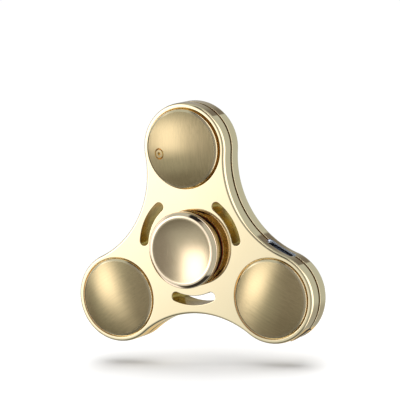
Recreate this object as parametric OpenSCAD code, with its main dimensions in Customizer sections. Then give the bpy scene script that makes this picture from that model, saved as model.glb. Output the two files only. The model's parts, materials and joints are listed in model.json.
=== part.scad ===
// Three-lobed fidget spinner with a sprung push button, a charging socket and a small heater.
// It stands upright: +Z runs to the top lobe, the spin axis is Y and the front faces -Y.
// The origin is the centre of the hub, half way through the thickness.
// Every part is drawn lying flat, front up, and turned upright by the module upright().

/* [Body] */
// Distance from the spin axis to the centre of each lobe
lobe_distance = 25.6; // [25.2:0.1:26.4]
// Radius of a lobe's outline
lobe_radius = 11.6; // [11.4:0.1:11.8]
// Distance from the spin axis to the middle of a flank
waist = 16.9; // [16.8:0.1:17.2]
// Thickness of the body across both shells
body_thickness = 8.2; // [8.2:0.1:8.6]
// How far the bevel along the outer edges leans in
bevel_width = 0.3; // [0.2:0.05:0.5]
// Height of that bevel
bevel_height = 0.8; // [0.6:0.1:1.2]
// Width of the groove between the two shells
seam_gap = 0.36; // [0.2:0.02:0.5]

/* [Lobes] */
// Radius of the round recess in each lobe
recess_radius = 10.4; // [10.3:0.05:10.5]
// Depth of that recess
recess_depth = 1.8; // [1.6:0.1:2.0]
// Radius of the domed covers and of the button
dome_radius = 10.1; // [9.9:0.05:10.15]
// Height of the crown of a dome above its edge
dome_rise = 1.9; // [1.2:0.1:2.4]
// How far the edges of the covers stand above the face
cover_stand = 0.3; // [0.1:0.1:0.5]
// How far the button's edge stands above the face at rest
button_lift = 1.05; // [1.02:0.01:1.2]
// Travel of the button
button_travel = 1.0; // [0.6:0.1:1.0]

/* [Slots] */
// Radius of the centre line of the curved slots
slot_radius = 13.45; // [13.4:0.05:13.5]
// Width of the slots
slot_width = 2.4; // [2:0.1:2.4]
// Angle of each slot between the centres of its round ends
slot_angle = 44; // [30:1:48]

/* [Hub] */
// Radius of the finger caps
cap_radius = 9.85; // [9.4:0.05:10]
// Thickness of a finger cap at its edge
cap_thickness = 2.0; // [1.8:0.1:2.4]
// Gap between a finger cap and the body
cap_gap = 2.6; // [2:0.1:3]
// Depth of the dish in a finger cap
dish_depth = 1.1; // [0.8:0.1:1.2]
// Radius of the opening in each shell over the bearing
hub_opening = 9.6; // [9.5:0.05:9.7]

/* [Bearing 608] */
// Bore radius of the bearing
bearing_bore = 4; // [4]
// Outer radius of the bearing
bearing_outer = 11; // [11]
// Width of the bearing
bearing_width = 7; // [7]
// Radius of the circle through the ball centres
ball_pitch = 7.5; // [7.5]
// Radius of a ball
ball_radius = 1.984; // [1.984]
// Number of balls
ball_count = 7; // [6:1:7]

/* [Hidden] */
$fn = 96;

polished_gold = "#e6d6a8";
satin_gold = "#b9a273";
cut = 0.01;                                 // overshoot of a cutter past the face that it cuts
half = body_thickness / 2;
seam = seam_gap / 2;
top_lobe = 90;
left_lobe = 210;
right_lobe = 330;
lobe_angles = [top_lobe, left_lobe, right_lobe];

// The flank is the arc that touches both neighbouring lobes and passes the axis at the waist.
flank_radius = (pow(lobe_distance, 2) + pow(waist, 2) - lobe_distance * waist - pow(lobe_radius, 2))
    / (lobe_distance + 2 * lobe_radius - 2 * waist);
flank_distance = waist + flank_radius;
flank_bite = 0.02;                          // flanks cut this far into the lobes, so no faces are tangent

ledge_top = half - recess_depth;            // the covers stand on this ledge
ledge_bottom = ledge_top - 0.8;
ledge_radius = 9.2;
cavity_radius = 10.2;
cover_wall = 0.8;
crown_radius = (pow(dome_radius, 2) + pow(dome_rise, 2)) / (2 * dome_rise);

wire_radius = 15.8;                         // the wires circle the hub between slots and flanks
wire_thickness = 0.7;
wire_rise = 0.56;                           // red wire above the seam plane, black wire below it
channel = [1.0, 2.0];                       // width and height of the wire channel

usb_along = 20.9;                           // socket position along its lobe's axis
usb_face = 11.2;                            // distance of the socket's mouth from that axis
usb_size = [7.5, 5.0, 2.5];                 // width, depth and height of the socket
usb_wall = 0.25;
usb_pocket = [8.3, 3.3];                    // shallow flat pocket around the mouth

heater_turn = -30;                          // heater direction, turned from its lobe's own axis
heater_seat = 10.9;                         // flat seat for the bezel, from the lobe's centre
heater_hole = 2.25;
heater_mouth = 1.85;
bezel_radius = 3.0;
bezel_proud = 11.5;                         // its rim is nearly flush with the round wall

screw_distance = 13.1;
screw_radius = 1.0;
screw_head = 1.7;

cap_bottom = half + cap_gap;
cap_top = cap_bottom + cap_thickness;
stub_radius = 3.96;
stud_radius = 1.25;
board_thickness = 0.8;

module upright() rotate([90, 0, 0]) children();
module at_lobe(angle) rotate(angle) translate([lobe_distance, 0, 0]) children();
module slab(r, low, high) translate([0, 0, low]) cylinder(r = r, h = high - low);
module tube(inner, outer, low, high) rotate_extrude()
    translate([inner, low]) square([outer - inner, high - low]);

// ---- outline -------------------------------------------------------------------------

function lobe_centre(angle) = lobe_distance * [cos(angle), sin(angle)];
function flank_centre(angle) = flank_distance * [cos(angle), sin(angle)];
function touch(lobe, flank) = let(a = lobe_centre(lobe), b = flank_centre(flank))
    a + (b - a) * lobe_radius / norm(b - a);

// Straight-sided web that joins the lobes; its corners lie where lobes and flanks meet.
module web() polygon([for (a = lobe_angles) each
    [touch(a, a - 60), lobe_centre(a), touch(a, a + 60)]]);

// Flat outline, moved in by the given amount
module outline(inset) difference() {
    union() {
        web();
        for (a = lobe_angles) translate(lobe_centre(a)) circle(r = lobe_radius - inset, $fn = 180);
    }
    for (a = lobe_angles) translate(flank_centre(a + 60))
        circle(r = flank_radius + flank_bite + inset, $fn = 180);
}

// Upper half of the body with its bevelled edge, from the seam up
module half_body() difference() {
    union() {
        translate([0, 0, seam]) linear_extrude(half - seam) web();
        for (a = lobe_angles) translate(lobe_centre(a)) rotate_extrude($fn = 180) polygon([
            [0, seam], [lobe_radius, seam], [lobe_radius, half - bevel_height],
            [lobe_radius - bevel_width, half], [0, half]]);
    }
    for (a = lobe_angles) translate(flank_centre(a + 60)) rotate_extrude($fn = 180) polygon([
        [0, 0], [flank_radius + flank_bite, 0],
        [flank_radius + flank_bite, half - bevel_height],
        [flank_radius + flank_bite + bevel_width, half],
        [flank_radius + flank_bite + bevel_width, half + 1], [0, half + 1]]);
}

// ---- shells --------------------------------------------------------------------------

module slot() {
    rotate(-slot_angle / 2) rotate_extrude(angle = slot_angle)
        translate([slot_radius - slot_width / 2, -cut]) square([slot_width, half + 1]);
    for (side = [-1, 1]) rotate(side * slot_angle / 2) translate([slot_radius, 0, -cut])
        cylinder(r = slot_width / 2 - cut, h = half + 1);
}

module usb_cuts() rotate(right_lobe) {
    translate([usb_along - usb_pocket[0] / 2, usb_face, -usb_pocket[1] / 2])
        cube([usb_pocket[0], 4, usb_pocket[1]]);
    translate([usb_along - usb_size[0] / 2 - 0.1, 4.5, -usb_size[2] / 2 - 0.1])
        cube([usb_size[0] + 0.2, usb_face - 4, usb_size[2] + 0.2]);
}

module toward_heater() at_lobe(right_lobe) rotate(heater_turn) rotate([0, 90, 0]) children();

module heater_cuts() toward_heater() {
    slab(heater_hole, 8, 13);
    slab(bezel_radius + 0.1, heater_seat, 13);
}

// Everything that is cut out of both shells alike
module shell() difference() {
    half_body();
    for (a = lobe_angles) {
        at_lobe(a) {
            slab(cavity_radius, 0, ledge_bottom);
            slab(ledge_radius, 0, half + 1);
            slab(recess_radius, ledge_top, half + 1);
        }
        rotate(a + 60) slot();
    }
    slab(bearing_outer + 0.02, 0, bearing_width / 2);
    slab(hub_opening, 0, half + 1);
    tube(wire_radius - channel[0] / 2, wire_radius + channel[0] / 2, -cut, channel[1] / 2);
    usb_cuts();
    heater_cuts();
}

module front_shell() color(polished_gold) upright() difference() {
    shell();
    for (a = lobe_angles) rotate(a) translate([screw_distance, 0, 0])
        slab(screw_radius + 0.03, 0, 2.6);
}

module rear_shell() color(polished_gold) upright() mirror([0, 0, 1]) difference() {
    shell();
    for (a = lobe_angles) rotate(a) translate([screw_distance, 0, 0]) {
        slab(screw_radius + 0.15, 0, half + 1);
        slab(screw_head + 0.1, half - 1.2, half + 1);
    }
}

module seam_gasket() color("#2a2018") upright() difference() {
    translate([0, 0, -seam]) linear_extrude(2 * seam) difference() {
        outline(0.35);
        outline(1.1);
    }
    usb_cuts();
    heater_cuts();
}

// ---- covers and button ---------------------------------------------------------------

// Section of a hollow dome that stands on the ledge
module dome_section(crown) difference() {
    translate([0, ledge_top]) intersection() {
        square([dome_radius, crown - ledge_top]);
        translate([0, crown - ledge_top - crown_radius]) circle(r = crown_radius, $fn = 360);
    }
    translate([0, ledge_top - cut]) intersection() {
        square([dome_radius - cover_wall, crown - ledge_top]);
        translate([0, crown - ledge_top - crown_radius])
            circle(r = crown_radius - cover_wall, $fn = 360);
    }
}

module dome(stand) rotate_extrude($fn = 180) dome_section(half + stand + dome_rise);
module cover(angle) at_lobe(angle) dome(cover_stand);
module front_cover(angle) color(satin_gold) upright() cover(angle);
module rear_cover(angle) color(satin_gold) upright() mirror([0, 0, 1]) cover(angle);

module front_cover_left() front_cover(left_lobe);
module front_cover_right() front_cover(right_lobe);
module rear_cover_top() rear_cover(top_lobe);
module rear_cover_left() rear_cover(left_lobe);
module rear_cover_right() rear_cover(right_lobe);

hook_angle = 24;
stem_radius = 1.6;
stem_bottom = 1.45;                         // before the button is lifted to its rest place
mark_turn = 190;                            // place of the mark, cut square to the crown
mark_distance = 6;
mark_tilt = asin(mark_distance / crown_radius);
mark_height = half + dome_rise - crown_radius * (1 - cos(mark_tilt));

// Domed button with a stem over the switch and three hooks under the ledge.
// A shallow ring and dot mark it as the control.
module button() color(satin_gold) upright() at_lobe(top_lobe) translate([0, 0, button_lift])
    difference() {
        union() {
            dome(0);
            slab(stem_radius, stem_bottom, half + dome_rise - 0.3);
            for (a = [30, 150, 270]) rotate(a - hook_angle / 2) rotate_extrude(angle = hook_angle)
                polygon([[8.3, -0.3], [9.7, -0.3], [9.7, ledge_bottom - button_lift - 0.05],
                    [9.0, ledge_bottom - button_lift - 0.05], [9.0, ledge_top + 0.5], [8.3, half]]);
        }
        rotate(mark_turn) translate([mark_distance, 0, mark_height]) rotate([0, mark_tilt, 0]) {
            tube(1.1, 1.45, -0.22, 1);
            slab(0.45, -0.22, 1);
        }
    }

spring_low = -1.35;
spring_high = half + button_lift + 0.55;
spring_radius = 4.2;
spring_wire = 0.25;
spring_turns = 5;
spring_steps = 22;                          // rings in one turn
ring_sides = 8;

// Closed round rod along a list of centres that circle the Z axis
module winding(centres, wire) {
    count = len(centres);
    points = [for (p = centres) let(out = [p[0], p[1], 0] / norm([p[0], p[1]]))
        for (k = [0 : ring_sides - 1]) p + wire * (cos(k * 360 / ring_sides) * out
            + sin(k * 360 / ring_sides) * [0, 0, 1])];
    skin = [for (i = [0 : count - 2]) for (k = [0 : ring_sides - 1])
        let(a = i * ring_sides, n = (k + 1) % ring_sides)
        [a + k, a + n, a + ring_sides + n, a + ring_sides + k]];
    start = [for (k = [ring_sides - 1 : -1 : 0]) k];
    end = [for (k = [0 : ring_sides - 1]) (count - 1) * ring_sides + k];
    polyhedron(points = points, faces = concat(skin, [start, end]), convexity = 8);
}

module button_spring() color("silver") upright() at_lobe(top_lobe) winding(
    [for (i = [0 : spring_turns * spring_steps]) let(t = i / (spring_turns * spring_steps),
        a = 360 * spring_turns * t)
        [spring_radius * cos(a), spring_radius * sin(a),
            spring_low + spring_wire + t * (spring_high - spring_low - 2 * spring_wire)]],
    spring_wire);

// ---- electronics ---------------------------------------------------------------------

board_low = -2.2;
board_high = board_low + board_thickness;
switch_top = 1.4;                           // the pressed stem stops just above this

module tact_switch() color("#202020") upright() at_lobe(top_lobe) {
    translate([-2.6, -2.6, board_high]) cube([5.2, 5.2, 1.9]);
    slab(1.2, board_high + 1.9, switch_top);
}

module switch_board() color("#1d5c34") upright() at_lobe(top_lobe)
    slab(ledge_radius - 0.2, board_low, board_high);

cell_radius = 7.05;                         // rechargeable button cell

module battery_cell() color("#9aa3ad") upright() at_lobe(left_lobe) {
    slab(cell_radius, -2.6, 2.4);
    slab(cell_radius - 1.6, 2.4, 2.7);
}

module battery_holder() color("#e8e4da") upright() at_lobe(left_lobe)
    tube(cell_radius + 0.05, 10.0, -0.65, 0.65);

module charge_board() color("#1d5c34") upright() at_lobe(right_lobe) difference() {
    slab(ledge_radius - 0.2, board_low, board_high);
    rotate(heater_turn) translate([6.4, -3.6, board_low - cut]) cube([4, 7.2, 1]);
}

module usb_frame() rotate(right_lobe)
    translate([usb_along - usb_size[0] / 2, usb_face - usb_size[1], -usb_size[2] / 2]) children();

module usb_shell() color("silver") upright() usb_frame() difference() {
    cube(usb_size);
    translate([usb_wall, 0.5, usb_wall])
        cube([usb_size[0] - 2 * usb_wall, usb_size[1], usb_size[2] - 2 * usb_wall]);
}

module usb_tongue() color("#15181d") upright() usb_frame() {
    translate([usb_wall + 0.1, 0.5, usb_wall + 0.05])
        cube([usb_size[0] - 2 * usb_wall - 0.2, 0.8, usb_size[2] - 2 * usb_wall - 0.1]);
    translate([1.4, 1.2, 0.8]) cube([usb_size[0] - 2.8, 3.0, 0.6]);
}

// ---- heater --------------------------------------------------------------------------

module heater_bezel() color(polished_gold) upright() toward_heater() difference() {
    union() {
        slab(heater_hole - 0.05, 8.6, heater_seat);
        slab(bezel_radius, heater_seat, bezel_proud);
    }
    slab(heater_mouth, 8, 13);
    translate([0, 0, heater_seat + 0.1])
        cylinder(r1 = heater_mouth, r2 = bezel_radius - 0.5, h = bezel_proud - heater_seat - 0.1 + cut);
}

coil_seat = 10.2;
coil_wire = 0.14;
coil_turns = 3;
coil_steps = 24;

module heater_cup() color("#e9dcc4") upright() toward_heater() difference() {
    slab(heater_mouth - 0.05, 7.2, heater_seat);
    slab(heater_mouth - 0.35, coil_seat, 12);
}

module heater_coil() color("#6b6258") upright() toward_heater()
    translate([0, 0, coil_seat + coil_wire + 0.02])
        winding([for (i = [0 : coil_turns * coil_steps]) let(a = 360 * i / coil_steps,
            r = 0.32 + 0.32 * i / coil_steps) [r * cos(a), r * sin(a), 0]], coil_wire);

// ---- inner weights, wires and fasteners ----------------------------------------------

// Steel pieces above and below the two boards that even out the weight of the battery
module balance_weights() color("#8a8d90") upright() {
    at_lobe(right_lobe) slab(5.9, board_high, 2.2);
    at_lobe(top_lobe) tube(5.2, 8.0, board_high, 1.2);
    for (a = [right_lobe, top_lobe]) at_lobe(a) slab(8.0, -3.95, board_low);
}

// Two wires from the battery past the flank to the charging board, one above the other
module battery_wires() color("#a02020") upright()
    for (rise = [-wire_rise, wire_rise])
        rotate(left_lobe + 9) translate([0, 0, rise]) rotate_extrude(angle = 102, $fn = 180)
            translate([wire_radius, 0]) circle(r = wire_thickness / 2, $fn = 24);

module shell_screws() color("silver") upright() for (a = lobe_angles)
    rotate(a) translate([screw_distance, 0, 0]) difference() {
        union() {
            slab(screw_radius, -half + 0.9, 2.4);
            slab(screw_head, -half + 0.05, -half + 1.2);
        }
        for (turn = [0, 90]) rotate(turn)
            translate([-1, -0.2, -half - cut]) cube([2, 0.4, 0.6]);
    }

// ---- hub -----------------------------------------------------------------------------

dish_radius = 8.2;
dish_sphere = (pow(dish_radius, 2) + pow(dish_depth, 2)) / (2 * dish_depth);

// Finger cap with a dished face and a stub that fills half of the bearing's bore
module finger_cap() difference() {
    rotate_extrude($fn = 180) polygon([[0, 0.15], [stub_radius, 0.15], [stub_radius, cap_bottom],
        [cap_radius - 0.3, cap_bottom], [cap_radius, cap_bottom + 0.3],
        [cap_radius, cap_top - 0.64], [cap_radius - 0.9, cap_top], [0, cap_top]]);
    translate([0, 0, cap_top - dish_depth + dish_sphere]) sphere(r = dish_sphere, $fn = 180);
    slab(stud_radius + 0.03, 0, 3);
}

module front_cap() color("#d9bf96") upright() finger_cap();
module rear_cap() color("#d9bf96") upright() mirror([0, 0, 1]) finger_cap();
module joining_stud() color("silver") upright() slab(stud_radius, -2.8, 2.8);

module spacer() tube(4.1, 5.9, bearing_width / 2, cap_bottom);
module front_spacer() color("#c9ab6a") upright() spacer();
module rear_spacer() color("#c9ab6a") upright() mirror([0, 0, 1]) spacer();

// ---- bearing -------------------------------------------------------------------------

race_radius = ball_radius + 0.04;
seal_seat = 2.8;                            // the seals lie in steps of the outer ring above this

module bearing_outer_ring() color("silver") upright() rotate_extrude($fn = 180) difference() {
    translate([9.05, -bearing_width / 2]) square([bearing_outer - 9.05, bearing_width]);
    translate([ball_pitch, 0]) circle(r = race_radius, $fn = 96);
    for (side = [-1, 1]) translate([9, side > 0 ? seal_seat : -bearing_width / 2 - cut])
        square([0.65, bearing_width / 2 - seal_seat + cut]);
}

module bearing_inner_ring() color("silver") upright() rotate_extrude($fn = 180) difference() {
    translate([bearing_bore, -bearing_width / 2]) square([1.95, bearing_width]);
    translate([ball_pitch, 0]) circle(r = race_radius, $fn = 96);
}

module ball_places() for (i = [0 : ball_count - 1])
    rotate(i * 360 / ball_count) translate([ball_pitch, 0, 0]) children();

module bearing_cage() color("#7d7f82") upright() difference() {
    tube(6.85, 8.15, -2.5, 2.5);
    ball_places() rotate([0, 90, 0]) slab(ball_radius + 0.06, -3, 3);
}

module bearing_balls() color("#d8dade") upright() ball_places() sphere(r = ball_radius, $fn = 48);

module seal() tube(6.25, 9.6, seal_seat + 0.02, bearing_width / 2 - 0.15);
module front_seal() color("#2a0f0c") upright() seal();
module rear_seal() color("#2a0f0c") upright() mirror([0, 0, 1]) seal();

front_shell();
rear_shell();
seam_gasket();
front_cover_left();
front_cover_right();
rear_cover_top();
rear_cover_left();
rear_cover_right();
button();
button_spring();
tact_switch();
switch_board();
battery_cell();
battery_holder();
charge_board();
usb_shell();
usb_tongue();
heater_bezel();
heater_cup();
heater_coil();
balance_weights();
battery_wires();
shell_screws();
front_cap();
rear_cap();
joining_stud();
front_spacer();
rear_spacer();
bearing_outer_ring();
bearing_inner_ring();
bearing_cage();
bearing_balls();
front_seal();
rear_seal();
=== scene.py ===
"""Looks of the fidget spinner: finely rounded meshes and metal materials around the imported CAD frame.

Lengths are in millimetres until a mesh is placed. Pieces are drawn lying flat, front up (z), and a
placing matrix stands them up: plan x is X, plan z is -Y and plan y is Z.
"""

import json
import math

import bmesh
import bpy
from mathutils import Matrix, Vector


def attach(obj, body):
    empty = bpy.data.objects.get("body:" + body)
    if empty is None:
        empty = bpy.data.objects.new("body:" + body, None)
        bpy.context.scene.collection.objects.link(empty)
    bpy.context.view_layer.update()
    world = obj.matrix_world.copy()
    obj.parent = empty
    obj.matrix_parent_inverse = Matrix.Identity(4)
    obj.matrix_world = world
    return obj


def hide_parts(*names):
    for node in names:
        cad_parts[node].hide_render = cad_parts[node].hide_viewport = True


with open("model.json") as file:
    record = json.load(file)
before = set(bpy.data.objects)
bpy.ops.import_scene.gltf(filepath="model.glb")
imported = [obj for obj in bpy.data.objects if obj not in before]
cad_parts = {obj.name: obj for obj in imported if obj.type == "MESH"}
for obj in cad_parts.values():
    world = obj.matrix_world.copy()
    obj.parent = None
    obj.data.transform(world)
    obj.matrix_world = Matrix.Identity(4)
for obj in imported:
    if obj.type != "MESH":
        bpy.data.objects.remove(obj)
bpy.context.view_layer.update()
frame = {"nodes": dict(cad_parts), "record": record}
nodes = frame["nodes"]
BODIES = frame["record"]["behaviour"]["bodies"]
BODY_OF = {node: body for body, members in BODIES.items() for node in members}

# ---- sizes, those of the CAD part unless a comment says otherwise -------------------------

LOBE_DISTANCE = 25.6
LOBE_RADIUS = 11.6
WAIST = 16.9
FLANK_RADIUS = (
    LOBE_DISTANCE**2 + WAIST**2 - LOBE_DISTANCE * WAIST - LOBE_RADIUS**2
) / (LOBE_DISTANCE + 2 * LOBE_RADIUS - 2 * WAIST)
FLANK_DISTANCE = WAIST + FLANK_RADIUS
HALF = 4.1
SEAM = 0.42  # half the groove; wider than the CAD's, so that the dark line shows
MIDDLE_GAP = 0.02  # not in the CAD; inside the groove the shells end this far from the middle plane
RECESS = 10.4
LIP_RADIUS, LIP_TOP = 10.16, 3.6  # not in the CAD; a lip that hides the gap round a dome
LEDGE_RADIUS, LEDGE_TOP, LEDGE_BOTTOM = 9.2, 2.3, 1.5
CAVITY_RADIUS = 10.2
DOME_RADIUS = 10.1
DOME_RISE = 1.9
DOME_WALL = 0.8
CROWN = (DOME_RADIUS**2 + DOME_RISE**2) / (2 * DOME_RISE)
CROWN_EDGE = 9.5  # not in the CAD; the crown ends here and the rounded edge begins
COVER_STAND = 0.3
BUTTON_LIFT = 1.05
SLOT_RADIUS = 13.45
SLOT_HALF_WIDTH = 1.2
SLOT_HALF_ANGLE = 22.0
HUB_OPENING = 9.6
BEARING_SEAT, BEARING_FACE = 11.02, 3.52
CAP_RADIUS = 9.85
CAP_BOTTOM = 6.7
CAP_TOP = 8.7
DISH_RADIUS = 8.2
DISH_EDGE = 8.3  # not in the CAD; the dish ends here and the rounded rim begins
DISH_DEPTH = 1.1
STUD_RADIUS = 3.96
USB_ALONG = 20.9
USB_FACE = 11.2
USB_SIZE = (7.5, 5.0, 2.5)
USB_CORNER = 0.5
USB_POCKET = (8.3, 3.3, 0.9)  # width, height and corner radius
HEATER_SEAT = 10.9
HEATER_PROUD = 11.5
BEZEL_RADIUS = 3.0
HEATER_MOUTH = 1.85
HEATER_BORE = 2.2
SCREW_DISTANCE = 13.1
SCREW_BORE, SCREW_HEAD, SCREW_HEAD_FLOOR = 1.15, 1.8, 2.9
MARK_TURN = 190
MARK_DISTANCE = 6.0
TOP, LEFT, RIGHT = 90, 210, 330
LOBES = (TOP, LEFT, RIGHT)
TURNS = 144  # segments of the large round edges

STAND = Matrix.Scale(0.001, 4) @ Matrix(((1, 0, 0, 0), (0, 0, -1, 0), (0, 1, 0, 0), (0, 0, 0, 1)))
FLIP = Matrix.Diagonal((1, 1, -1, 1))


def turn(angle, axis="Z"):
    return Matrix.Rotation(math.radians(angle), 4, axis)


def side_place(rear):
    return STAND @ FLIP if rear else STAND


def lobe_place(angle, rear=False, lift=0.0):
    return side_place(rear) @ turn(angle) @ Matrix.Translation((LOBE_DISTANCE, 0, lift)) @ turn(-angle)


# Local axes of the socket: x along the lobe, y through the thickness, z out of the mouth
USB_PLACE = STAND @ turn(RIGHT) @ Matrix.Translation((USB_ALONG, 0, 0)) @ turn(-90, "X")
# Local z of the heater points out of its mouth
HEATER_PLACE = STAND @ turn(RIGHT) @ Matrix.Translation((LOBE_DISTANCE, 0, 0)) @ turn(-30) @ turn(90, "Y")

# ---- paths -------------------------------------------------------------------------------


def rounded(corners, step=9.0):
    """Points along corners (a, b, radius), with every corner replaced by an arc."""
    path = []
    for i, (a, b, radius) in enumerate(corners):
        here = Vector((a, b))
        if radius == 0 or i in (0, len(corners) - 1):
            path.append(here)
            continue
        back = (Vector(corners[i - 1][:2]) - here).normalized()
        ahead = (Vector(corners[i + 1][:2]) - here).normalized()
        bend = math.pi - back.angle(ahead)
        side = 1 if back.x * ahead.y - back.y * ahead.x < 0 else -1
        centre = here + (back + ahead).normalized() * radius / math.cos(bend / 2)
        start = here + back * radius * math.tan(bend / 2) - centre
        count = max(2, math.ceil(math.degrees(bend) / step))
        for k in range(count + 1):
            path.append(centre + Matrix.Rotation(side * bend * k / count, 2) @ start)
    return path


def arc_points(centre, radius, first, last, count):
    """Points on an arc; angles in degrees, both ends included."""
    angles = (math.radians(first + (last - first) * k / count) for k in range(count + 1))
    return [Vector((centre[0] + radius * math.cos(a), centre[1] + radius * math.sin(a))) for a in angles]


def circle(radius, count=128):
    return arc_points((0, 0), radius, 0, 360, count)[:-1]


def outline(inset):
    """The body's outline, moved in by the given amount."""
    flank = Vector((math.cos(math.radians(-60)), math.sin(math.radians(-60)))) * FLANK_DISTANCE
    flank -= Vector((LOBE_DISTANCE, 0))
    open_angle = math.degrees(math.atan2(-flank.y, flank.x))
    points = []
    for lobe in LOBES:
        a, b = math.radians(lobe), math.radians(lobe + 60)
        centre = (LOBE_DISTANCE * math.cos(a), LOBE_DISTANCE * math.sin(a))
        points += arc_points(centre, LOBE_RADIUS - inset, lobe - open_angle, lobe + open_angle, 132)[:-1]
        beyond = (FLANK_DISTANCE * math.cos(b), FLANK_DISTANCE * math.sin(b))
        start = lobe + open_angle - 180
        points += arc_points(beyond, FLANK_RADIUS + inset, start, start - 2 * (open_angle - 60), 64)[:-1]
    return points


def slot_outline(middle, grow):
    """A curved slot with round ends, made larger all round by the given amount."""
    half, width = SLOT_HALF_ANGLE, SLOT_HALF_WIDTH + grow
    points = arc_points((0, 0), SLOT_RADIUS + width, middle - half, middle + half, 40)[:-1]
    for side, first in ((1, middle + half), (-1, middle - half + 180)):
        a = math.radians(middle + side * half)
        centre = (SLOT_RADIUS * math.cos(a), SLOT_RADIUS * math.sin(a))
        points += arc_points(centre, width, first, first + 180, 20)[:-1]
        if side == 1:
            points += arc_points((0, 0), SLOT_RADIUS - width, middle + half, middle - half, 40)[:-1]
    return points


def rounded_box(width, height, radius, count=6):
    """Outline of a rectangle with round corners, centred on the origin."""
    points = []
    for k, (sx, sy) in enumerate(((1, 1), (-1, 1), (-1, -1), (1, -1))):
        centre = (sx * (width / 2 - radius), sy * (height / 2 - radius))
        points += arc_points(centre, radius, k * 90, k * 90 + 90, count)
    return points


# ---- meshes ------------------------------------------------------------------------------


class Solid:
    """A closed mesh made of swept bands and filled faces."""

    def __init__(self, place):
        self.bm = bmesh.new()
        self.place = place

    def ring(self, points, z):
        return [self.bm.verts.new(self.place @ Vector((p[0], p[1], z))) for p in points]

    def band(self, a, b, material=0):
        for i in range(len(a)):
            k = (i + 1) % len(a)
            self.bm.faces.new((a[i], a[k], b[k], b[i])).material_index = material

    def sweep(self, outline_at, path, material_of=None):
        """Bands along a path of (offset, height); gives back the first and the last ring."""
        rings = [self.ring(outline_at(p[0]), p[1]) for p in path]
        for i in range(len(rings) - 1):
            self.band(rings[i], rings[i + 1], material_of(path[i]) if material_of else 0)
        return rings[0], rings[-1]

    def fill(self, rings, material=0):
        """Fills between closed rings that lie in one plane."""
        edges = []
        for ring in rings:
            for i in range(len(ring)):
                edge = self.bm.edges.get((ring[i], ring[(i + 1) % len(ring)]))
                edges.append(edge or self.bm.edges.new((ring[i], ring[(i + 1) % len(ring)])))
        made = bmesh.ops.triangle_fill(self.bm, use_beauty=True, edges=edges)
        for item in made["geom"]:
            if isinstance(item, bmesh.types.BMFace):
                item.material_index = material

    def lathe(self, path, segments=128, material_of=None):
        """Turns a path of (radius, height) about the local z axis; a radius of 0 closes on the axis."""
        before = None
        for i, p in enumerate(path):
            if p[0] < 1e-6:
                now = [self.bm.verts.new(self.place @ Vector((0, 0, p[1])))]
            else:
                now = self.ring(circle(p[0], segments), p[1])
            if before:
                material = material_of(path[i - 1], p) if material_of else 0
                if len(now) == 1 or len(before) == 1:
                    pole, rim = (now, before) if len(now) == 1 else (before, now)
                    for k in range(len(rim)):
                        face = self.bm.faces.new((pole[0], rim[k], rim[(k + 1) % len(rim)]))
                        face.material_index = material
                else:
                    self.band(before, now, material)
            before = now

    def lathe_closed(self, path, segments=128, material_of=None):
        """Turns a closed path, one that does not touch the axis."""
        rings = [self.ring(circle(p[0], segments), p[1]) for p in path]
        for i in range(len(rings)):
            k = (i + 1) % len(rings)
            self.band(rings[i], rings[k], material_of(path[i], path[k]) if material_of else 0)

    def make(self, name):
        bmesh.ops.recalc_face_normals(self.bm, faces=self.bm.faces)
        mesh = bpy.data.meshes.new(name)
        self.bm.to_mesh(mesh)
        self.bm.free()
        obj = bpy.data.objects.new(name + "_fine", mesh)
        bpy.context.scene.collection.objects.link(obj)
        return obj


def apply_modifiers(obj):
    bpy.context.view_layer.update()
    seen = obj.evaluated_get(bpy.context.evaluated_depsgraph_get())
    old, obj.data = obj.data, bpy.data.meshes.new_from_object(seen)
    obj.modifiers.clear()
    obj.data.name = obj.name
    bpy.data.meshes.remove(old)


def cut(obj, cutters):
    for cutter in cutters:
        modifier = obj.modifiers.new("cut", "BOOLEAN")
        modifier.object = cutter
        modifier.operation = "DIFFERENCE"
        modifier.solver = "EXACT"
    apply_modifiers(obj)


def smooth(obj, sharp=34.0):
    """Smooth shading that keeps flat faces flat and edges over the given angle sharp."""
    bm = bmesh.new()
    bm.from_mesh(obj.data)
    bmesh.ops.remove_doubles(bm, verts=bm.verts, dist=1e-7)
    for face in bm.faces:
        face.smooth = True
    for edge in bm.edges:
        edge.smooth = len(edge.link_faces) == 2 and edge.calc_face_angle(0) < math.radians(sharp)
    bm.to_mesh(obj.data)
    bm.free()
    modifier = obj.modifiers.new("normals", "WEIGHTED_NORMAL")
    modifier.keep_sharp = True
    modifier.weight = 90
    apply_modifiers(obj)


def piece(obj, node, slot, *materials):
    """Finishes a mesh as the stand-in for one CAD node."""
    chosen = [face.material_index for face in obj.data.polygons]
    obj.data.materials.clear()
    for m in materials:
        obj.data.materials.append(m)
    obj.data.polygons.foreach_set("material_index", chosen)
    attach(obj, BODY_OF[node])
    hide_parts(node)


# ---- materials ---------------------------------------------------------------------------


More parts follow.
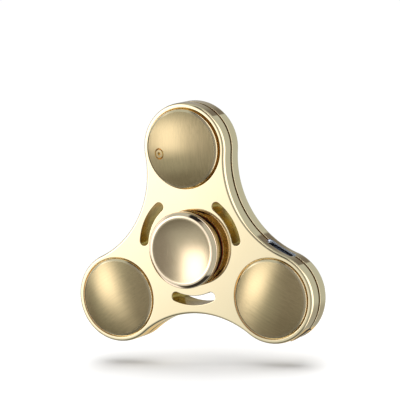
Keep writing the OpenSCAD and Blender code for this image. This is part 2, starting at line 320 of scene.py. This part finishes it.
class Nodes:
    """Short names for making shader nodes."""

    def __init__(self, name):
        self.material = bpy.data.materials.new(name)
        self.material.use_nodes = True
        self.tree = self.material.node_tree
        self.shader = self.tree.nodes["Principled BSDF"]

    def add(self, kind, **values):
        node = self.tree.nodes.new(kind)
        for key, value in values.items():
            setattr(node, key, value)
        return node

    def link(self, a, b):
        self.tree.links.new(a, b)

    def math(self, operation, a, b=0.0):
        node = self.add("ShaderNodeMath", operation=operation)
        for socket, value in zip(node.inputs, (a, b)):
            if isinstance(value, (int, float)):
                socket.default_value = value
            else:
                self.link(value, socket)
        return node.outputs[0]

    def ramp(self, value, low, high, out_low=0.0, out_high=1.0, smooth_step=False):
        kind = "SMOOTHSTEP" if smooth_step else "LINEAR"
        node = self.add("ShaderNodeMapRange", interpolation_type=kind)
        self.link(value, node.inputs["Value"])
        limits = {"From Min": low, "From Max": high, "To Min": out_low, "To Max": out_high}
        for key, number in limits.items():
            node.inputs[key].default_value = number
        return node.outputs["Result"]

    def mix(self, factor, a, b):
        node = self.add("ShaderNodeMix", data_type="RGBA")
        for key, kind, value in (("Factor", "VALUE", factor), ("A", "RGBA", a), ("B", "RGBA", b)):
            socket = [s for s in node.inputs if s.name == key and s.type == kind][0]
            if isinstance(value, (tuple, list)):
                socket.default_value = (*value[:3], 1)
            elif isinstance(value, (int, float)):
                socket.default_value = value
            else:
                self.link(value, socket)
        return [s for s in node.outputs if s.type == "RGBA"][0]

    def noise(self, scale, detail=2.0, stretch=(1, 1, 1), spin=0.0, rough=0.5):
        """Noise in object space; stretch multiplies the axes after a turn about Y in degrees."""
        place = self.add("ShaderNodeTexCoord").outputs["Object"]
        spun = self.add("ShaderNodeMapping", vector_type="POINT")
        spun.inputs["Rotation"].default_value = (0, math.radians(spin), 0)
        self.link(place, spun.inputs["Vector"])
        stretched = self.add("ShaderNodeMapping", vector_type="POINT")
        stretched.inputs["Scale"].default_value = stretch
        self.link(spun.outputs["Vector"], stretched.inputs["Vector"])
        node = self.add("ShaderNodeTexNoise")
        self.link(stretched.outputs["Vector"], node.inputs["Vector"])
        node.inputs["Scale"].default_value = scale
        node.inputs["Detail"].default_value = detail
        node.inputs["Roughness"].default_value = rough
        return node.outputs["Fac"]

    def bump(self, height, strength, distance):
        node = self.add("ShaderNodeBump")
        node.inputs["Strength"].default_value = strength
        node.inputs["Distance"].default_value = distance
        self.link(height, node.inputs["Height"])
        self.link(node.outputs["Normal"], self.shader.inputs["Normal"])

    def set(self, **values):
        for key, value in values.items():
            socket = self.shader.inputs[key.replace("_", " ")]
            if isinstance(value, tuple):
                socket.default_value = (*value, 1)
            elif isinstance(value, (int, float)):
                socket.default_value = value
            else:
                self.link(value, socket)


def polished(name, light, deep, rough=(0.03, 0.075)):
    """Mirror-polished metal with faint haze and the finest of wipe marks."""
    n = Nodes(name)
    cloud = n.noise(90, 3)
    wipe = n.noise(1, 2, stretch=(260, 260, 2600), rough=0.6)
    n.set(Base_Color=n.mix(n.ramp(cloud, 0.3, 0.7), light, deep), Metallic=1.0)
    haze = n.math("MULTIPLY", n.ramp(cloud, 0.35, 0.75), n.ramp(wipe, 0.3, 0.8))
    n.set(Roughness=n.ramp(haze, 0, 1, *rough))
    n.bump(n.noise(2400, 1), 0.02, 0.00002)
    return n.material


def brushed(name, light, deep, angle, rough=(0.28, 0.36), anisotropy=0.9):
    """Satin metal brushed in straight lines along a direction in the plan, in degrees."""
    n = Nodes(name)
    fine = n.noise(1, 3, stretch=(110, 6400, 6400), spin=angle, rough=0.65)
    wide = n.noise(1, 2, stretch=(60, 2100, 2100), spin=angle, rough=0.55)
    streak = n.math("ADD", n.math("MULTIPLY", fine, 0.55), n.math("MULTIPLY", wide, 0.45))
    n.set(Base_Color=n.mix(n.ramp(streak, 0.36, 0.66), deep, light), Metallic=1.0, Anisotropic=anisotropy)
    n.set(Roughness=n.ramp(streak, 0.35, 0.65, *rough))
    across = n.add("ShaderNodeVectorTransform", vector_type="VECTOR")
    across.convert_from, across.convert_to = "OBJECT", "WORLD"
    a = math.radians(angle + 90)
    across.inputs["Vector"].default_value = (math.cos(a), 0, math.sin(a))
    n.link(across.outputs["Vector"], n.shader.inputs["Tangent"])
    n.bump(streak, 0.01, 0.00001)
    return n.material


def turned(name, light, deep, rough=(0.3, 0.38)):
    """Satin metal with the faint rings of a lathe round the Y axis."""
    n = Nodes(name)
    place = n.add("ShaderNodeTexCoord").outputs["Object"]
    split = n.add("ShaderNodeSeparateXYZ")
    n.link(place, split.inputs[0])
    square = n.math("ADD", n.math("POWER", split.outputs[0], 2), n.math("POWER", split.outputs[2], 2))
    radius = n.math("SQRT", square)
    join = n.add("ShaderNodeCombineXYZ")
    n.link(n.math("MULTIPLY", radius, 2600), join.inputs[0])
    rings = n.add("ShaderNodeTexNoise")
    rings.inputs["Scale"].default_value = 1
    rings.inputs["Detail"].default_value = 3
    n.link(join.outputs[0], rings.inputs["Vector"])
    cloud = n.noise(700, 4)
    grain = n.math("ADD", n.math("MULTIPLY", rings.outputs["Fac"], 0.6), n.math("MULTIPLY", cloud, 0.4))
    n.set(Base_Color=n.mix(n.ramp(grain, 0.35, 0.65), deep, light), Metallic=1.0)
    n.set(Roughness=n.ramp(grain, 0.35, 0.65, *rough))
    n.bump(grain, 0.015, 0.00001)
    return n.material


def plain(name, light, deep, metallic, rough, grain=1500, strength=0.1):
    """Matt or satin stuff with a mottled colour, a varying gloss and a fine grain."""
    n = Nodes(name)
    mottle = n.noise(grain / 4, 3)
    fine = n.noise(grain, 4)
    n.set(Base_Color=n.mix(n.ramp(mottle, 0.35, 0.65), light, deep), Metallic=metallic)
    n.set(Roughness=n.ramp(fine, 0.3, 0.7, *rough))
    n.bump(fine, strength, 0.00004)
    return n.material


GOLD = polished("polished_gold", (0.96, 0.80, 0.54), (0.95, 0.785, 0.52))
CAP_RIM = polished("polished_rose_gold", (0.97, 0.78, 0.58), (0.95, 0.76, 0.56))
# Darker orange gold for the slot walls and the seam groove: painted shade in those recesses.
SLOT_SHADE_GOLD = plain("slot_and_seam_painted_shade_gold", (0.76, 0.54, 0.14), (0.44, 0.30, 0.06), 1.0, (0.12, 0.28), 900, 0.25)
# Orange-tinged gold for the walls of the cover wells and the cover skirts: painted shade in the gap round
# each cover dome.
COVER_GAP_SHADE_GOLD = plain("cover_gap_painted_shade_gold", (0.90, 0.66, 0.32), (0.78, 0.54, 0.22), 0.95, (0.16, 0.24), 500, 0.01)
# Orange-brown gold for the button's well and skirt and for the mark: painted shade in the gap round the
# button.
BUTTON_GAP_SHADE_GOLD = plain("gap_painted_shade_gold", (0.80, 0.46, 0.11), (0.62, 0.34, 0.07), 0.85, (0.2, 0.3), 500, 0.01)
DISH = turned("satin_rose_gold", (0.85, 0.67, 0.45), (0.81, 0.63, 0.415), (0.22, 0.26))
BRUSHED = {
    angle: brushed(f"brushed_gold_{name}", (0.84, 0.66, 0.385), (0.70, 0.54, 0.30), angle)
    for name, angle in (("top", TOP), ("left", LEFT), ("right", RIGHT))
}
GASKET = plain("gasket_rubber", (0.07, 0.03, 0.008), (0.04, 0.016, 0.005), 0.0, (0.35, 0.55), 3000)
# Near-black seal rubber, also used as painted shadow on the seal's outer edge and groove.
SEAL = plain("seal_rubber_and_painted_shadow", (0.022, 0.003, 0.002), (0.012, 0.002, 0.002), 0.0, (0.3, 0.5), 2600)
SEAL_GOLD = plain("seal_gold", (0.86, 0.66, 0.24), (0.70, 0.50, 0.14), 0.55, (0.22, 0.36), 1500, 0.02)
SEAL_LIP = plain("seal_lip", (0.30, 0.012, 0.008), (0.22, 0.01, 0.007), 0.0, (0.2, 0.35), 2600)
STEEL = plain("bright_steel", (0.66, 0.67, 0.70), (0.58, 0.59, 0.62), 1.0, (0.16, 0.28), 2400, 0.03)
RACE = plain("ground_steel", (0.72, 0.73, 0.75), (0.66, 0.67, 0.69), 1.0, (0.08, 0.16), 2800, 0.02)
SOCKET = plain("socket_steel", (0.80, 0.83, 0.90), (0.70, 0.73, 0.80), 1.0, (0.12, 0.2), 3000, 0.02)
TONGUE = plain("socket_plastic", (0.018, 0.022, 0.035), (0.01, 0.012, 0.02), 0.0, (0.25, 0.4), 3200)
CERAMIC = plain("ceramic", (0.80, 0.74, 0.62), (0.70, 0.63, 0.51), 0.0, (0.45, 0.6), 2600)
# Near-black painted shade for the heater bezel's outer wall and mouth.
BEZEL_SHADE = plain("bezel_painted_shade", (0.035, 0.022, 0.016), (0.02, 0.014, 0.01), 0.6, (0.35, 0.5), 2600)
COIL = plain("resistance_wire", (0.20, 0.17, 0.14), (0.12, 0.10, 0.09), 1.0, (0.35, 0.5), 4200)
BOARD = plain("circuit_board", (0.02, 0.16, 0.07), (0.015, 0.12, 0.05), 0.0, (0.3, 0.4), 1800)
BLACK = plain("black_plastic", (0.02, 0.02, 0.022), (0.012, 0.012, 0.014), 0.0, (0.35, 0.5), 2200)
WHITE = plain("white_plastic", (0.78, 0.75, 0.68), (0.70, 0.67, 0.60), 0.0, (0.4, 0.5), 2000)
WIRE = plain("wire_cover", (0.42, 0.03, 0.02), (0.32, 0.02, 0.015), 0.0, (0.4, 0.5), 2200)

# ---- the body ----------------------------------------------------------------------------


def box_cutter(width, height, radius, low, high):
    s = Solid(USB_PLACE)
    first, last = s.sweep(lambda _: rounded_box(width, height, radius), [(0, low), (0, high)])
    s.fill([first])
    s.fill([last])
    return s.make("cutter")


def round_cutter(place, radius, low, high, segments=96):
    s = Solid(place)
    s.lathe([(0, low), (radius, low), (radius, high), (0, high)], segments)
    return s.make("cutter")


def side_cutters():
    """Cutters of the socket, then those of the heater."""
    return [
        box_cutter(*USB_POCKET, USB_FACE, 14),
        box_cutter(USB_SIZE[0] + 0.2, USB_SIZE[2] + 0.2, USB_CORNER, 4.5, USB_FACE + 0.5),
    ], [
        round_cutter(HEATER_PLACE, HEATER_BORE + 0.05, 8, 13),
        round_cutter(HEATER_PLACE, BEZEL_RADIUS + 0.1, HEATER_SEAT, 13),
    ]


def remove(objects):
    for obj in objects:
        mesh = obj.data
        bpy.data.objects.remove(obj)
        bpy.data.meshes.remove(mesh)


SHELL_METALS = (GOLD, SLOT_SHADE_GOLD, BUTTON_GAP_SHADE_GOLD, COVER_GAP_SHADE_GOLD, SOCKET)
FACE, SLOT_WALL, BUTTON_WELL, COVER_WELL, POCKET = range(5)


def dress(obj, materials, index=None):
    """Gives a mesh the materials, and every face of it the same one if an index is given."""
    for m in materials:
        obj.data.materials.append(m)
    if index is not None:
        obj.data.polygons.foreach_set("material_index", [index] * len(obj.data.polygons))


def well_section():
    """Section of the recess round a dome, from the face down to the middle of the body."""
    return rounded([
        (RECESS + 0.2, HALF, 0), (RECESS, HALF, 0.13), (RECESS, LIP_TOP, 0.05), (LIP_RADIUS, LIP_TOP, 0.03),
        (LIP_RADIUS, LEDGE_TOP, 0.05), (LEDGE_RADIUS, LEDGE_TOP, 0.05), (LEDGE_RADIUS, LEDGE_BOTTOM, 0),
        (CAVITY_RADIUS, LEDGE_BOTTOM, 0), (CAVITY_RADIUS, MIDDLE_GAP, 0),
    ])


# The seam groove takes the slot walls' darker gold, which is painted shade inside the groove.
def wall_material(p):
    return SLOT_WALL if p[1] < SEAM + 0.001 else FACE


def slot_material(p):
    return SLOT_WALL if p[0] < 0.001 else FACE


def shell(name, rear):
    s = Solid(side_place(rear))
    wall = rounded([
        (0.7, HALF, 0), (0.16, HALF, 0.45), (0, 3.3, 1.0),
        (0, SEAM, 0.12), (0.6, SEAM, 0), (0.6, MIDDLE_GAP, 0),
    ])
    holes = [s.sweep(outline, wall, wall_material)]
    slot = rounded([(0.2, HALF, 0), (0, HALF, 0.13), (0, MIDDLE_GAP, 0)])
    for lobe in LOBES:
        a = math.radians(lobe)
        centre = Vector((LOBE_DISTANCE * math.cos(a), LOBE_DISTANCE * math.sin(a)))
        # Well walls take a darker gap gold: painted shade in the gap round the dome.
        well_wall = BUTTON_WELL if lobe == TOP and not rear else COVER_WELL
        holes.append(s.sweep(
            lambda r: [centre + p for p in circle(r, TURNS)], well_section(),
            lambda p: well_wall if p[0] < RECESS + 0.001 else FACE,
        ))
        holes.append(s.sweep(lambda grow: slot_outline(lobe + 60, grow), slot, slot_material))
    hub = rounded([
        (HUB_OPENING + 0.3, HALF, 0), (HUB_OPENING, HALF, 0.2), (HUB_OPENING, BEARING_FACE, 0),
        (BEARING_SEAT, BEARING_FACE, 0), (BEARING_SEAT, MIDDLE_GAP, 0),
    ])
    holes.append(s.sweep(lambda r: circle(r, TURNS), hub))
    s.fill([face for face, _ in holes])
    s.fill([seam for _, seam in holes])
    obj = s.make(name)
    dress(obj, SHELL_METALS)
    socket_cutters, heater_cutters = side_cutters()
    for cutter in socket_cutters:
        dress(cutter, SHELL_METALS, POCKET)
    for cutter in heater_cutters:
        dress(cutter, SHELL_METALS)
    cutters = socket_cutters + heater_cutters
    if rear:
        for lobe in LOBES:
            place = STAND @ FLIP @ turn(lobe) @ Matrix.Translation((SCREW_DISTANCE, 0, 0))
            cutters.append(round_cutter(place, SCREW_BORE, -1, 6, 48))
            cutters.append(round_cutter(place, SCREW_HEAD, SCREW_HEAD_FLOOR, 6, 48))
    cut(obj, cutters)
    remove(cutters)
    smooth(obj)
    piece(obj, name, "polished_gold", *SHELL_METALS)


def gasket():
    s = Solid(STAND)
    outer = s.sweep(outline, [(0.42, -SEAM), (0.42, SEAM)])
    inner = s.sweep(outline, [(0.59, -SEAM), (0.59, SEAM)])
    s.band(outer[0], inner[0])
    s.band(outer[1], inner[1])
    obj = s.make("seam_gasket")
    socket_cutters, heater_cutters = side_cutters()
    cut(obj, socket_cutters + heater_cutters)
    remove(socket_cutters + heater_cutters)
    smooth(obj)
    piece(obj, "seam_gasket", "gasket", GASKET)


# ---- domes -------------------------------------------------------------------------------


def crown_path(drop, last, count):
    """Points on the crown's sphere from the axis out; drop is the depth below the outer face."""
    ball = CROWN - drop
    radii = [last * k / count for k in range(count + 1)]
    return [Vector((r, HALF + DOME_RISE - CROWN + math.sqrt(ball**2 - r**2))) for r in radii]


def dome_path(lifted=0.0):
    """Section of a dome; a lifted one has its skirt that much longer."""
    foot = LEDGE_TOP - lifted
    outer = crown_path(0, CROWN_EDGE, 26)
    inside = DOME_RADIUS - DOME_WALL
    edge = rounded([
        (*outer[-1], 0), (DOME_RADIUS, HALF + 0.005, 0.38), (DOME_RADIUS, foot, 0.1),
        (inside, foot, 0), (inside, 2.9, 0),
    ])
    return outer + edge[1:] + crown_path(DOME_WALL, inside - 0.1, 12)[::-1]


BRUSHED_CROWN, EDGE, SKIRT = range(3)


# Skirt faces take the darker gap gold: painted shade in the gap below the dome's edge.
def dome_material(a, b):
    if max(a[0], b[0]) < CROWN_EDGE + 0.01 and a[1] > HALF:
        return BRUSHED_CROWN
    return EDGE if a[1] > HALF - 0.4 else SKIRT


def dome(name, lobe, rear):
    s = Solid(lobe_place(lobe, rear, COVER_STAND))
    s.lathe(dome_path(COVER_STAND), TURNS, dome_material)
    obj = s.make(name)
    smooth(obj)
    piece(obj, name, "satin_gold", BRUSHED[lobe], GOLD, COVER_GAP_SHADE_GOLD)


def mark_cutters():
    """A ring and a dot, cut square to the crown near the edge of the button."""
    tilt = math.asin(MARK_DISTANCE / CROWN)
    height = HALF + DOME_RISE - CROWN * (1 - math.cos(tilt))
    place = lobe_place(TOP, lift=BUTTON_LIFT) @ turn(MARK_TURN)
    place = place @ Matrix.Translation((MARK_DISTANCE, 0, height)) @ Matrix.Rotation(tilt, 4, "Y")
    groove = Solid(place)
    groove.lathe_closed([(1.27, -0.24), (1.52, 0.04), (1.52, 0.5), (1.02, 0.5), (1.02, 0.04)], 64)
    dot = Solid(place)
    dot.lathe([(0, -0.22), (0.25, -0.18), (0.5, 0.04), (0.5, 0.5), (0, 0.5)], 40)
    return [groove.make("cutter"), dot.make("cutter")]


def hooks(solid):
    """Three curved hooks on the inside of the skirt, which keep the button in its recess."""
    section = [(8.3, -0.3), (9.7, -0.3), (9.7, 0.4), (9.0, 0.4), (9.0, 2.6), (8.3, 4.6)]
    steps, step = 8, 3
    for middle in (30, 150, 270):
        rings = []
        for k in range(steps + 1):
            a = math.radians(middle + step * (k - steps / 2))
            points = [Vector((r * math.cos(a), r * math.sin(a), z)) for r, z in section]
            rings.append([solid.bm.verts.new(solid.place @ p) for p in points])
        for k in range(steps):
            solid.band(rings[k], rings[k + 1], EDGE)
        for end in (rings[0], rings[-1]):
            solid.bm.faces.new(end).material_index = EDGE


def button():
    metals = (BRUSHED[TOP], GOLD, BUTTON_GAP_SHADE_GOLD)
    place = lobe_place(TOP, lift=BUTTON_LIFT)
    s = Solid(place)
    s.lathe(dome_path(), TURNS, dome_material)
    obj = s.make("button")
    dress(obj, metals)
    cutters = mark_cutters()
    for cutter in cutters:
        # The faces cut for the mark take the darker gap gold: painted shade in the engraving.
        dress(cutter, metals, SKIRT)
    cut(obj, cutters)
    remove(cutters)
    under = Solid(place)
    under.bm.from_mesh(obj.data)
    under.lathe([(0, 1.45), (1.6, 1.45), (1.6, 5.3), (0, 5.3)], 48, lambda a, b: EDGE)
    hooks(under)
    bmesh.ops.recalc_face_normals(under.bm, faces=under.bm.faces)
    under.bm.to_mesh(obj.data)
    under.bm.free()
    smooth(obj)
    piece(obj, "button", "satin_gold", *metals)


# ---- hub ---------------------------------------------------------------------------------


def cap_material(a, b):
    """Satin in the dish, polished everywhere else."""
    return int(max(a[0], b[0]) > DISH_EDGE + 0.01 or a[1] < CAP_BOTTOM + 0.3)


def finger_cap(name, rear):
    s = Solid(side_place(rear))
    ball = (DISH_RADIUS**2 + DISH_DEPTH**2) / (2 * DISH_DEPTH)
    radii = [DISH_EDGE * k / 26 for k in range(27)]
    dish = [Vector((r, CAP_TOP - DISH_DEPTH + ball - math.sqrt(ball**2 - r**2))) for r in radii]
    rim = rounded([
        (*dish[-1], 0), (8.72, CAP_TOP, 0.4), (8.96, CAP_TOP, 0.28), (CAP_RADIUS, CAP_TOP - 0.64, 0.6),
        (CAP_RADIUS, CAP_BOTTOM, 0.3), (STUD_RADIUS, CAP_BOTTOM, 0), (STUD_RADIUS, 0.15, 0), (0, 0.15, 0),
    ], 6)
    s.lathe(dish + rim[1:], 160, cap_material)
    obj = s.make(name)
    smooth(obj)
    piece(obj, name, "cap_gold", DISH, CAP_RIM)


def collar(name, rear, corners, material_of=None):
    """A turned ring; its section has rounded corners."""
    s = Solid(side_place(rear))
    path = rounded([corners[-1], *corners, corners[0]])[1:-1]
    s.lathe_closed(path, 128, material_of)
    obj = s.make(name)
    smooth(obj)
    return obj


def spacer(name, rear):
    section = [(4.1, 3.5, 0.1), (5.9, 3.5, 0.15), (5.9, CAP_BOTTOM, 0.15), (4.1, CAP_BOTTOM, 0.1)]
    piece(collar(name, rear, section), name, "polished_gold", GOLD)


def seal(name, rear):
    """From outside in: black edge, gold ring, red lip, black groove, gold. The black edge and groove are
    painted shadow in the gap round the cap.
    """
    bottom, groove, ring, lip, high = 2.82, 3.1, 3.22, 3.3, 3.35
    section = [
        (6.25, bottom, 0.05), (9.6, bottom, 0.05), (9.6, 3.15, 0.05), (9.42, 3.15, 0.05),
        (9.38, high, 0.06), (9.24, high, 0.06), (9.16, ring, 0.05), (9.02, ring, 0.03),
        (9.0, lip, 0.02), (8.86, lip, 0.03), (8.81, groove, 0.03), (8.23, groove, 0.03),
        (8.18, 3.2, 0.03), (6.9, 3.2, 0.1), (6.25, high, 0.06),
    ]

    def material_of(a, b):
        r = (a.x + b.x) / 2
        if min(a.y, b.y) < 2.9 or r > 9.4 or 8.2 < r < 8.84:
            return 0
        return 2 if 8.84 < r < 9.01 else 1

    piece(collar(name, rear, section, material_of), name, "seal", SEAL, SEAL_GOLD, SEAL_LIP)


# ---- socket and heater -------------------------------------------------------------------


def usb_socket():
    s = Solid(USB_PLACE)
    width, depth, height = USB_SIZE
    low, high = USB_FACE - depth, USB_FACE

    def rim(inset):
        return rounded_box(width - 2 * inset, height - 2 * inset, max(0.12, USB_CORNER - inset))

    section = [
        (0, low), (0, high - 0.06), (0.06, high), (0.22, high), (0.27, high - 0.06), (0.27, low + 0.5),
    ]
    first, last = s.sweep(rim, section)
    s.fill([first])
    s.fill([last])
    obj = s.make("usb_shell")
    smooth(obj)
    piece(obj, "usb_shell", "steel", SOCKET)
    t = Solid(USB_PLACE)
    block = (6.7, 1.8, low + 0.52, low + 1.3)
    blade = (4.7, 0.6, low + 1.2, low + 4.1)
    for w, h, bottom, top in (block, blade):
        section = [(0, bottom), (0, top - 0.08), (0.08, top)]
        first, last = t.sweep(lambda inset: rounded_box(w - 2 * inset, h - 2 * inset, 0.14, 3), section)
        t.fill([first])
        t.fill([last])
    obj = t.make("usb_tongue")
    smooth(obj)
    piece(obj, "usb_tongue", "black_plastic", TONGUE)


def bezel_material(a, b):
    """Near-black painted shade on the outer wall and in the mouth, bright on the ridge between them."""
    return int(min(a.x, b.x) > 2.7 or max(a.x, b.x) < 2.3)


def heater():
    s = Solid(HEATER_PLACE)
    foot = 9.0
    path = rounded([
        (HEATER_MOUTH, foot, 0), (HEATER_MOUTH, 11.2, 0.1), (2.25, 11.355, 0), (2.62, HEATER_PROUD, 0.12),
        (BEZEL_RADIUS, HEATER_PROUD, 0.24), (BEZEL_RADIUS, HEATER_SEAT, 0.05),
        (HEATER_BORE, HEATER_SEAT, 0), (HEATER_BORE, foot, 0),
    ])
    s.lathe_closed(path, 96, bezel_material)
    obj = s.make("heater_bezel")
    smooth(obj)
    piece(obj, "heater_bezel", "polished_gold", CAP_RIM, BEZEL_SHADE)


SIDES = (("front", False), ("rear", True))
for side, is_rear in SIDES:
    shell(f"{side}_shell", is_rear)
gasket()
for side, is_rear in SIDES:
    for lobe_name, lobe_angle in (("top", TOP), ("left", LEFT), ("right", RIGHT)):
        if is_rear or lobe_angle != TOP:  # the front of the top lobe has the button
            dome(f"{side}_cover_{lobe_name}", lobe_angle, is_rear)
button()
for side, is_rear in SIDES:
    finger_cap(f"{side}_cap", is_rear)
for side, is_rear in SIDES:
    spacer(f"{side}_spacer", is_rear)
    seal(f"{side}_seal", is_rear)
usb_socket()
heater()

# Pieces that keep their CAD mesh
INNER_MATERIALS = {
    "button_spring": STEEL, "tact_switch": BLACK, "switch_board": BOARD, "battery_cell": STEEL,
    "battery_holder": WHITE, "charge_board": BOARD, "heater_cup": CERAMIC, "heater_coil": COIL,
    "balance_weights": STEEL, "battery_wires": WIRE, "shell_screws": STEEL, "joining_stud": STEEL,
    "bearing_outer_ring": RACE, "bearing_inner_ring": RACE, "bearing_cage": STEEL, "bearing_balls": RACE,
}
for node_name, inner_material in INNER_MATERIALS.items():
    nodes[node_name].data.materials.clear()
    nodes[node_name].data.materials.append(inner_material)

# ---- floor, light and camera -------------------------------------------------------------

FLOOR_HEIGHT = -0.0305
FLOOR_HALF_SIDE = 0.4
FLOOR_FADE = (0.09, 0.17)  # the floor turns into the plain backdrop between these distances
AMBIENT = 0.167
BACKDROP = 1.02

# Soft panels that only the metal sees: colour, range round the object (0 is the front, 90 the right),
# range above the horizon and the softness of the four edges, all three in degrees. Later panels cover
# earlier ones.
PANELS = (
    ((0.38, 0.38, 0.37), (-170, -138), (-10, 40), (10, 6, 8, 8)),  # back left
    ((0.38, 0.39, 0.36), (138, 200), (-46, -16), (8, 8, 4, 5)),  # behind, low
    ((0.38, 0.39, 0.36), (-200, -172), (-46, -16), (8, 4, 4, 5)),
    ((0.72, 0.56, 0.31), (-172, -152), (-46, -14), (4, 8, 4, 6)),  # golden, behind on the left, low
    ((0.28, 0.28, 0.27), (-17, 80), (-95, 95), (7, 4, 5, 5)),  # grey, front to right
    ((0.18, 0.18, 0.16), (-62, 10), (-95, -25), (10, 8, 4, 6)),  # front left, low
    ((0.50, 0.55, 0.52), (24, 62), (-56, 48), (4, 2, 2, 2)),  # front right
    ((0.02, 0.02, 0.02), (-20, 80), (48, 95), (6, 4, 2, 2)),  # overhead, front to right
    ((0.04, 0.04, 0.035), (-80, 80), (-95, -54), (8, 4, 4, 3)),  # straight below
    ((0.05, 0.045, 0.04), (62, 80), (-95, 95), (2, 2, 2, 2)),  # dark strip on the right
    ((1.75, 1.75, 1.72), (80, 138), (-60, 80), (2, 6, 6, 6)),  # bright, right
    ((1.1, 1.1, 1.1), (-112, -80), (-60, 70), (8, 8, 10, 10)),  # bright, left
    ((0.08, 0.075, 0.06), (-147, -105), (-60, 62), (3, 4, 4, 4)),  # dark, back left
    ((0.15, 0.145, 0.12), (-80, -60), (-60, 6), (4, 4, 6, 8)),  # dark, left, low
    ((2.75, 2.75, 2.75), (-53, -28), (-7, 21), (5, 6, 7, 10)),  # key light, front left
    ((0.19, 0.18, 0.165), (-200, -168), (20, 38), (2, 12, 3, 3)),  # behind, high
    ((0.19, 0.18, 0.165), (173, 200), (20, 38), (1, 2, 3, 3)),
)


def stage():
    side = FLOOR_HALF_SIDE
    corners = [(-side, -side, 0), (side, -side, 0), (side, side, 0), (-side, side, 0)]
    mesh = bpy.data.meshes.new("floor")
    mesh.from_pydata(corners, [], [(0, 1, 2, 3)])
    floor = bpy.data.objects.new("floor", mesh)
    floor.location.z = FLOOR_HEIGHT
    floor.visible_glossy = False
    bpy.context.scene.collection.objects.link(floor)
    n = Nodes("pale_floor")
    distance = n.add("ShaderNodeVectorMath", operation="LENGTH")
    n.link(n.add("ShaderNodeTexCoord").outputs["Object"], distance.inputs[0])
    n.set(Base_Color=(0.9, 0.9, 0.9), Roughness=1.0, Specular_IOR_Level=0.0)
    n.set(Alpha=n.ramp(distance.outputs["Value"], *FLOOR_FADE, 1, 0, True))
    floor.data.materials.append(n.material)


def studio():
    """White all round for the camera and the floor; the metal sees soft panels by direction."""
    world = bpy.data.worlds.new("studio")
    bpy.context.scene.world = world
    world.use_nodes = True
    n = Nodes.__new__(Nodes)
    n.tree = world.node_tree
    split = n.add("ShaderNodeSeparateXYZ")
    n.link(n.add("ShaderNodeTexCoord").outputs["Generated"], split.inputs[0])
    x, y, z = split.outputs
    degrees = 180 / math.pi
    around = n.math("MULTIPLY", n.math("ARCTAN2", x, n.math("MULTIPLY", y, -1.0)), degrees)
    above = n.math("MULTIPLY", n.math("ARCSINE", z), degrees)

    def window(value, low, high, soft_low, soft_high):
        rise = n.ramp(value, low - soft_low, low + soft_low, 0, 1, True)
        fall = n.ramp(value, high - soft_high, high + soft_high, 1, 0, True)
        return n.math("MULTIPLY", rise, fall)

    light = (0.50, 0.55, 0.53)
    for colour, turn_range, tilt_range, soft in PANELS:
        across = window(around, *turn_range, *soft[:2])
        upward = window(above, *tilt_range, *soft[2:])
        light = n.mix(n.math("MULTIPLY", across, upward), light, colour)
    path = n.add("ShaderNodeLightPath")
    colour = n.mix(path.outputs["Is Glossy Ray"], (AMBIENT,) * 3, light)
    colour = n.mix(path.outputs["Is Camera Ray"], colour, (BACKDROP,) * 3)
    n.link(colour, n.tree.nodes["Background"].inputs["Color"])


def overhead():
    """A long soft lamp that throws the shadow on the floor and isn't mirrored in the metal."""
    lamp = bpy.data.lights.new("overhead", "AREA")
    lamp.shape = "RECTANGLE"
    lamp.size, lamp.size_y = 0.36, 1.15
    lamp.energy = 4.7
    obj = bpy.data.objects.new("overhead", lamp)
    obj.location.z = 0.4
    obj.rotation_euler.z = math.radians(AZIMUTH)
    obj.visible_glossy = False
    obj.visible_camera = False
    bpy.context.scene.collection.objects.link(obj)


AZIMUTH, ELEVATION, ROLL = 28.70, 6.114, -3.795
AIM = Vector((0.00086, 0.00125, 0.01174))
DISTANCE = 0.715


def camera():
    data = bpy.data.cameras.new("camera")
    data.sensor_width = 36
    data.lens = 251.67
    data.clip_start, data.clip_end = 0.05, 20
    obj = bpy.data.objects.new("camera", data)
    azimuth, elevation, roll = (math.radians(angle) for angle in (AZIMUTH, ELEVATION, ROLL))
    level = Vector((math.cos(azimuth), math.sin(azimuth), 0))
    front = Vector((math.sin(azimuth), -math.cos(azimuth), 0))
    back = front * math.cos(elevation) + Vector((0, 0, math.sin(elevation)))
    right = math.cos(roll) * level + math.sin(roll) * back.cross(level)
    pose = Matrix((right, back.cross(right), back)).transposed().to_4x4()
    pose.translation = AIM + DISTANCE * back
    obj.matrix_world = pose
    bpy.context.scene.collection.objects.link(obj)
    bpy.context.scene.camera = obj


stage()
studio()
overhead()
camera()
bpy.context.scene.view_settings.view_transform = "Standard"
